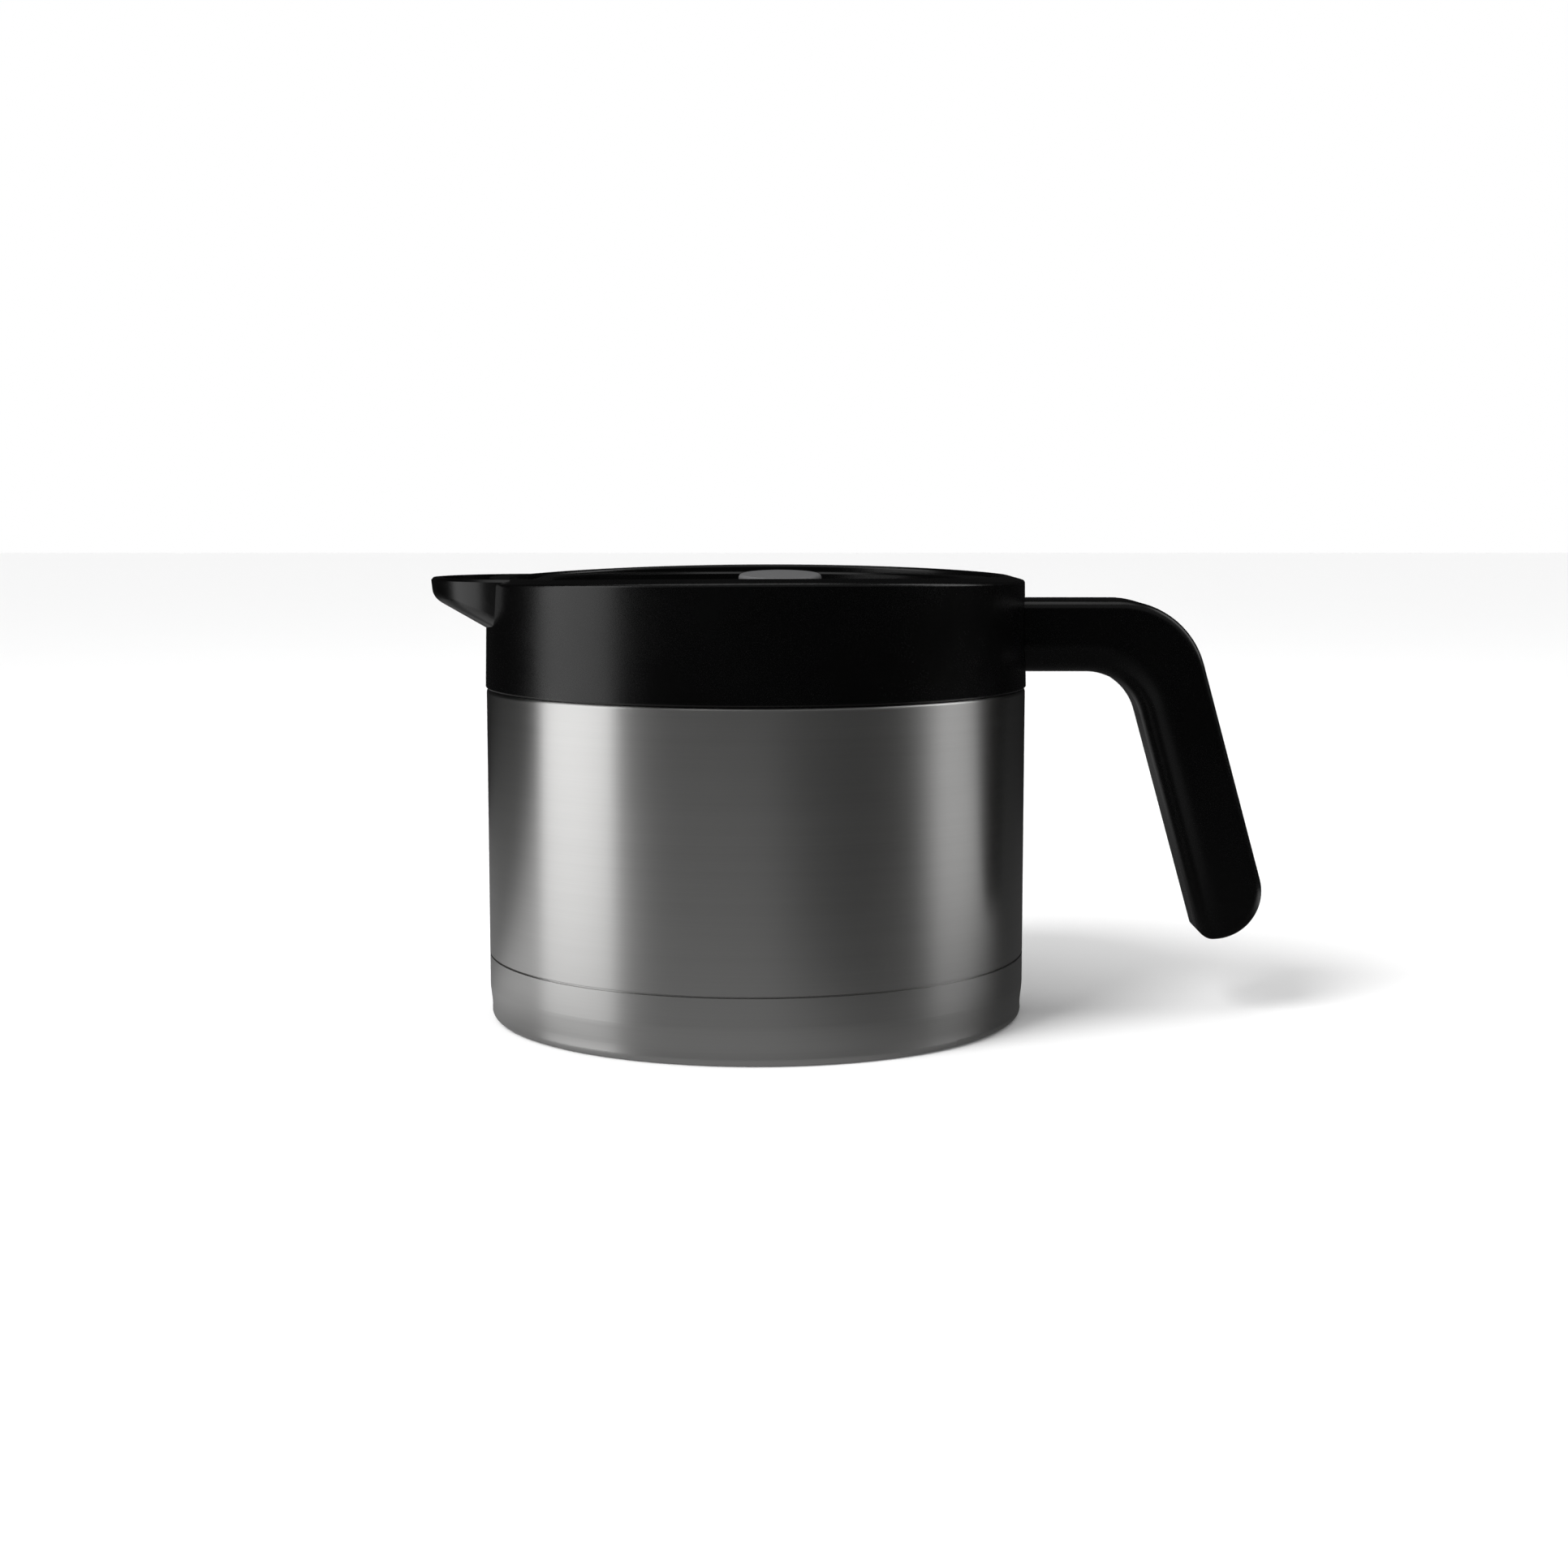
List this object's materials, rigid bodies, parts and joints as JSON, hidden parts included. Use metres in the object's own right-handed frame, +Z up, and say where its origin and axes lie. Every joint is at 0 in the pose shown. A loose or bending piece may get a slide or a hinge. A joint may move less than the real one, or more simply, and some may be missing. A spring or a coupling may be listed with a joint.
{
  "type": "thermal carafe",
  "caption": "Squat double-wall steel vacuum carafe with a black collar and spout, an open drop handle, a recessed twist lid and a sprung brew-through valve button.",
  "frame": {"origin": "the centre of the round foot pad's underside, on the surface that the carafe stands on", "axes": "+X points at the handle, -X at the spout, +Z up along the body's axis"},
  "size_m": [0.2306, 0.1502, 0.124],
  "materials": {
    "brushed_shell": "fine satin brushing round the body",
    "plain_steel": "plain pressed",
    "polished_vessel": "bright inside the vessel",
    "solder": "dull",
    "getter_metal": "dark sintered",
    "foil": "bright foil",
    "spring_ring": "plain",
    "black_rubber": "matte",
    "grey_silicone": "soft satin",
    "black_moulding": "fine satin grain",
    "black_inner": "satin",
    "grey_button": "satin",
    "bracket_alloy": "cast",
    "screw_steel": "plated",
    "spring_wire": "drawn wire",
    "rod_steel": "drawn"
  },
  "bodies": {
    "vessel": {"base_cup": "brushed_shell", "foot_pad": "black_rubber", "outer_shell": "brushed_shell", "vacuum_closure": "plain_steel", "seal_off_button": "solder", "getter": "getter_metal", "inner_vessel": "polished_vessel", "heat_foil": "foil", "collar_gasket": "grey_silicone", "retaining_ring": "spring_ring", "collar": "black_moulding", "handle_near_half": "black_moulding", "handle_far_half": "black_moulding", "handle_bracket": "bracket_alloy", "bracket_screws": "screw_steel", "handle_screws": "screw_steel", "screw_plugs": "black_moulding"},
    "lid": {"lid_top": "black_moulding", "lid_plug": "black_inner", "plug_gasket": "grey_silicone", "port_seal": "grey_silicone", "valve_spring": "spring_wire"},
    "valve": {"valve_button": "grey_button", "valve_stem": "rod_steel", "valve_seal": "grey_silicone", "valve_head": "black_inner", "stem_clip": "rod_steel"}
  },
  "joints": [
    {"name": "lid_turn", "type": "hinge", "parent": "vessel", "child": "lid", "pos_m": [0, 0, 0.11], "axis": [0, 0, 1], "range_deg": [-90, 45]},
    {"name": "valve_press", "type": "slide", "parent": "lid", "child": "valve", "axis": [0, 0, 1], "range_m": [-0.004, 0], "stiffness_N_per_m": 600, "springref_m": 0.004, "deforming": ["valve_spring"]}
  ]
}
